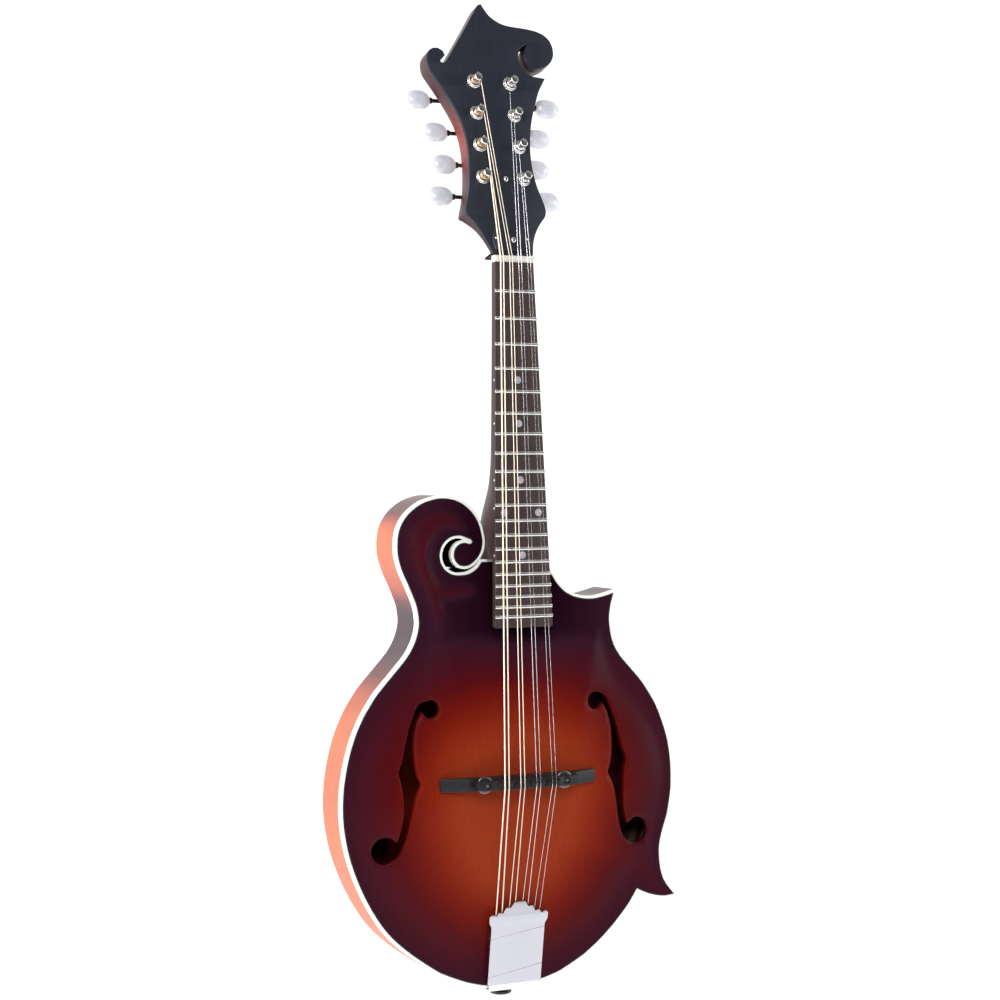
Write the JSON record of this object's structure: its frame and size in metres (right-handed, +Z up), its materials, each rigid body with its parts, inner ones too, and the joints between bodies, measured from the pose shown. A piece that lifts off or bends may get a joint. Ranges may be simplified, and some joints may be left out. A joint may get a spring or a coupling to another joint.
{
  "type": "mandolin",
  "caption": "F-style mandolin with a carved sunburst body, scroll, points, f-shaped sound holes, geared tuners, adjustable bridge and covered tailpiece.",
  "frame": {"origin": "centre of the end pin's flat outer face, at the tail end of the body", "axes": "+Z up along the neck towards the peghead, -Y out of the top towards the player's audience, +X towards the treble side"},
  "size_m": [0.2573, 0.0884, 0.6918],
  "materials": {
    "top_wood": "satin carved spruce with a dark red sunburst",
    "maple": "satin stained figured maple",
    "inner_wood": "bare sanded wood",
    "binding": "ivory celluloid, polished",
    "peghead_veneer": "satin black",
    "rosewood": "oiled open-pored, with nickel frets",
    "bone": "polished bone",
    "ebony": "fine-sanded, unfinished",
    "chrome": "polished plate",
    "nickel": "polished nickel plate",
    "black_plastic": "black, polished",
    "pearl_plastic": "white pearloid buttons on dark metal shafts",
    "bronze_wire": "wound phosphor bronze",
    "steel_wire": "plain bright steel wire",
    "steel": "plain steel",
    "brass": "plain brass"
  },
  "bodies": {
    "instrument": {"top_plate": "top_wood", "rim": "maple", "back_plate": "maple", "neck": "maple", "top_binding": "binding", "back_binding": "binding", "heel_cap": "binding", "head_block": "inner_wood", "tail_block": "inner_wood", "upper_point_block": "inner_wood", "lower_point_block": "inner_wood", "top_lining_bass": "inner_wood", "top_lining_treble": "inner_wood", "back_lining_bass": "inner_wood", "back_lining_treble": "inner_wood", "tone_bar_bass": "inner_wood", "tone_bar_treble": "inner_wood", "peghead_overlay": "peghead_veneer", "fingerboard_support": "peghead_veneer", "fingerboard": "rosewood", "nut": "bone", "bridge_base": "ebony", "tailpiece_base": "nickel", "bridge_post_bass": "nickel", "bridge_post_treble": "nickel", "tuner_plate_bass": "nickel", "tuner_plate_treble": "nickel", "truss_rod_cover": "black_plastic", "end_pin": "black_plastic", "string_g_1": "bronze_wire", "string_g_2": "bronze_wire", "string_d_1": "bronze_wire", "string_d_2": "bronze_wire", "string_a_1": "steel_wire", "string_a_2": "steel_wire", "string_e_1": "steel_wire", "string_e_2": "steel_wire", "truss_rod": "steel"},
    "bridge_saddle": {"bridge_saddle": "ebony"},
    "thumbwheel_bass": {"thumbwheel_bass": "nickel"},
    "thumbwheel_treble": {"thumbwheel_treble": "nickel"},
    "tailpiece_cover": {"tailpiece_cover": "chrome"},
    "truss_rod_nut": {"truss_rod_nut": "brass"},
    "tuner_knob_bass_1": {"tuner_knob_bass_1": "pearl_plastic"},
    "tuner_post_bass_1": {"tuner_post_bass_1": "nickel"},
    "tuner_knob_bass_2": {"tuner_knob_bass_2": "pearl_plastic"},
    "tuner_post_bass_2": {"tuner_post_bass_2": "nickel"},
    "tuner_knob_bass_3": {"tuner_knob_bass_3": "pearl_plastic"},
    "tuner_post_bass_3": {"tuner_post_bass_3": "nickel"},
    "tuner_knob_bass_4": {"tuner_knob_bass_4": "pearl_plastic"},
    "tuner_post_bass_4": {"tuner_post_bass_4": "nickel"},
    "tuner_knob_treble_1": {"tuner_knob_treble_1": "pearl_plastic"},
    "tuner_post_treble_1": {"tuner_post_treble_1": "nickel"},
    "tuner_knob_treble_2": {"tuner_knob_treble_2": "pearl_plastic"},
    "tuner_post_treble_2": {"tuner_post_treble_2": "nickel"},
    "tuner_knob_treble_3": {"tuner_knob_treble_3": "pearl_plastic"},
    "tuner_post_treble_3": {"tuner_post_treble_3": "nickel"},
    "tuner_knob_treble_4": {"tuner_knob_treble_4": "pearl_plastic"},
    "tuner_post_treble_4": {"tuner_post_treble_4": "nickel"}
  },
  "joints": [
    {"name": "saddle_height", "type": "slide", "parent": "instrument", "child": "bridge_saddle", "axis": [0, -1, 0], "range_m": [-0.0005, 0.0018], "deforming": ["string_g_1", "string_g_2", "string_d_1", "string_d_2", "string_a_1", "string_a_2", "string_e_1", "string_e_2"]},
    {"name": "thumbwheel_bass_turn", "type": "hinge", "parent": "bridge_saddle", "child": "thumbwheel_bass", "pos_m": [-0.03, -0.0397, 0.1526], "axis": [0, -1, 0], "range_deg": [-226.8, 816.4]},
    {"name": "thumbwheel_treble_turn", "type": "hinge", "parent": "bridge_saddle", "child": "thumbwheel_treble", "pos_m": [0.03, -0.0397, 0.1526], "axis": [0, -1, 0], "range_deg": [-226.8, 816.4]},
    {"name": "tailpiece_cover_lift", "type": "slide", "parent": "instrument", "child": "tailpiece_cover", "axis": [0, -1, 0], "range_m": [0, 0.045]},
    {"name": "truss_rod_nut_turn", "type": "hinge", "parent": "instrument", "child": "truss_rod_nut", "pos_m": [0, -0.01538, 0.52224], "axis": [0, 0.057, 0.9984], "range_deg": [-180, 180]},
    {"name": "tuner_knob_bass_1_turn", "type": "hinge", "parent": "instrument", "child": "tuner_knob_bass_1", "pos_m": [-0.0154, 0.00756, 0.55317], "axis": [-1, 0, 0], "continuous": true},
    {"name": "tuner_post_bass_1_turn", "type": "hinge", "parent": "instrument", "child": "tuner_post_bass_1", "pos_m": [-0.0154, 0.00971, 0.56119], "axis": [0, -0.9659, 0.2588], "continuous": true},
    {"name": "tuner_knob_bass_2_turn", "type": "hinge", "parent": "instrument", "child": "tuner_knob_bass_2", "pos_m": [-0.01487, 0.01367, 0.57597], "axis": [-1, 0, 0], "continuous": true},
    {"name": "tuner_post_bass_2_turn", "type": "hinge", "parent": "instrument", "child": "tuner_post_bass_2", "pos_m": [-0.01487, 0.01582, 0.58399], "axis": [0, -0.9659, 0.2588], "continuous": true},
    {"name": "tuner_knob_bass_3_turn", "type": "hinge", "parent": "instrument", "child": "tuner_knob_bass_3", "pos_m": [-0.01434, 0.01978, 0.59877], "axis": [-1, 0, 0], "continuous": true},
    {"name": "tuner_post_bass_3_turn", "type": "hinge", "parent": "instrument", "child": "tuner_post_bass_3", "pos_m": [-0.01434, 0.02193, 0.60678], "axis": [0, -0.9659, 0.2588], "continuous": true},
    {"name": "tuner_knob_bass_4_turn", "type": "hinge", "parent": "instrument", "child": "tuner_knob_bass_4", "pos_m": [-0.01381, 0.02589, 0.62156], "axis": [-1, 0, 0], "continuous": true},
    {"name": "tuner_post_bass_4_turn", "type": "hinge", "parent": "instrument", "child": "tuner_post_bass_4", "pos_m": [-0.01381, 0.02804, 0.62958], "axis": [0, -0.9659, 0.2588], "continuous": true},
    {"name": "tuner_knob_treble_1_turn", "type": "hinge", "parent": "instrument", "child": "tuner_knob_treble_1", "pos_m": [0.0154, 0.00756, 0.55317], "axis": [1, 0, 0], "continuous": true},
    {"name": "tuner_post_treble_1_turn", "type": "hinge", "parent": "instrument", "child": "tuner_post_treble_1", "pos_m": [0.0154, 0.00971, 0.56119], "axis": [0, -0.9659, 0.2588], "continuous": true},
    {"name": "tuner_knob_treble_2_turn", "type": "hinge", "parent": "instrument", "child": "tuner_knob_treble_2", "pos_m": [0.01487, 0.01367, 0.57597], "axis": [1, 0, 0], "continuous": true},
    {"name": "tuner_post_treble_2_turn", "type": "hinge", "parent": "instrument", "child": "tuner_post_treble_2", "pos_m": [0.01487, 0.01582, 0.58399], "axis": [0, -0.9659, 0.2588], "continuous": true},
    {"name": "tuner_knob_treble_3_turn", "type": "hinge", "parent": "instrument", "child": "tuner_knob_treble_3", "pos_m": [0.01434, 0.01978, 0.59877], "axis": [1, 0, 0], "continuous": true},
    {"name": "tuner_post_treble_3_turn", "type": "hinge", "parent": "instrument", "child": "tuner_post_treble_3", "pos_m": [0.01434, 0.02193, 0.60678], "axis": [0, -0.9659, 0.2588], "continuous": true},
    {"name": "tuner_knob_treble_4_turn", "type": "hinge", "parent": "instrument", "child": "tuner_knob_treble_4", "pos_m": [0.01381, 0.02589, 0.62156], "axis": [1, 0, 0], "continuous": true},
    {"name": "tuner_post_treble_4_turn", "type": "hinge", "parent": "instrument", "child": "tuner_post_treble_4", "pos_m": [0.01381, 0.02804, 0.62958], "axis": [0, -0.9659, 0.2588], "continuous": true}
  ],
  "couplings": [
    {"joint": "thumbwheel_bass_turn", "follows": "saddle_height", "rad_per_m": 7913.3},
    {"joint": "thumbwheel_treble_turn", "follows": "saddle_height", "rad_per_m": 7913.3},
    {"joint": "tuner_post_bass_1_turn", "follows": "tuner_knob_bass_1_turn", "ratio": 0.066667},
    {"joint": "tuner_post_bass_2_turn", "follows": "tuner_knob_bass_2_turn", "ratio": 0.066667},
    {"joint": "tuner_post_bass_3_turn", "follows": "tuner_knob_bass_3_turn", "ratio": 0.066667},
    {"joint": "tuner_post_bass_4_turn", "follows": "tuner_knob_bass_4_turn", "ratio": 0.066667},
    {"joint": "tuner_post_treble_1_turn", "follows": "tuner_knob_treble_1_turn", "ratio": -0.066667},
    {"joint": "tuner_post_treble_2_turn", "follows": "tuner_knob_treble_2_turn", "ratio": -0.066667},
    {"joint": "tuner_post_treble_3_turn", "follows": "tuner_knob_treble_3_turn", "ratio": -0.066667},
    {"joint": "tuner_post_treble_4_turn", "follows": "tuner_knob_treble_4_turn", "ratio": -0.066667}
  ]
}
